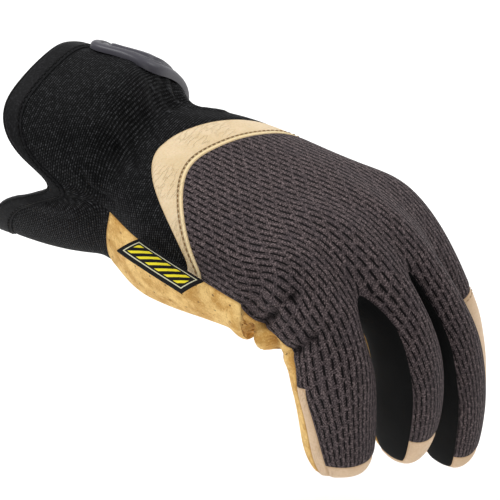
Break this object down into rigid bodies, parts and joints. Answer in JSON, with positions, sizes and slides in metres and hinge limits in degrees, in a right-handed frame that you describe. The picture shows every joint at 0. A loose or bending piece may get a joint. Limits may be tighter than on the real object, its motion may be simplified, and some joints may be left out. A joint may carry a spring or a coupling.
{
  "type": "mechanic glove",
  "caption": "Right-hand work glove with a mesh back, leather palm and fingers, and a knit cuff with a rubber tab, shown worn with curled fingers.",
  "frame": {"origin": "middle of the cuff opening, where the hand goes in", "axes": "+Y along the hand from the cuff to the knuckles, +Z out of the back of the hand, +X towards the little finger"},
  "size_m": [0.134, 0.2141, 0.1645],
  "materials": {
    "back_mesh": "matt slit mesh",
    "knit_black": "matt ribbed knit",
    "hem_black": "smooth matt hem band",
    "leather_gold": "matt suede-like leather",
    "leather_beige": "smooth satin grain leather",
    "rubber_grey": "satin moulded rubber",
    "woven_label": "woven label"
  },
  "bodies": {
    "root": {"cuff_binding": "hem_black", "cuff_back": "knit_black", "cuff_palm": "knit_black", "wrist_crescent": "leather_beige", "back_panel": "back_mesh", "palm_panel": "leather_gold", "thumb_back": "leather_beige", "thumb_front": "leather_gold", "fourchette_pinky_ring": "knit_black", "fourchette_ring_middle": "knit_black", "fourchette_middle_index": "knit_black", "index_back_leather": "leather_beige", "pinky_side_leather": "leather_beige", "pinky_tip": "leather_beige", "ring_tip": "leather_beige", "middle_tip": "leather_beige", "rubber_tab": "rubber_grey", "side_label": "woven_label", "pinky_back": "back_mesh", "pinky_front": "leather_gold", "ring_back": "back_mesh", "ring_front": "leather_gold", "middle_back": "back_mesh", "middle_front": "leather_gold", "index_back": "back_mesh", "index_front": "leather_gold"}
  },
  "joints": []
}
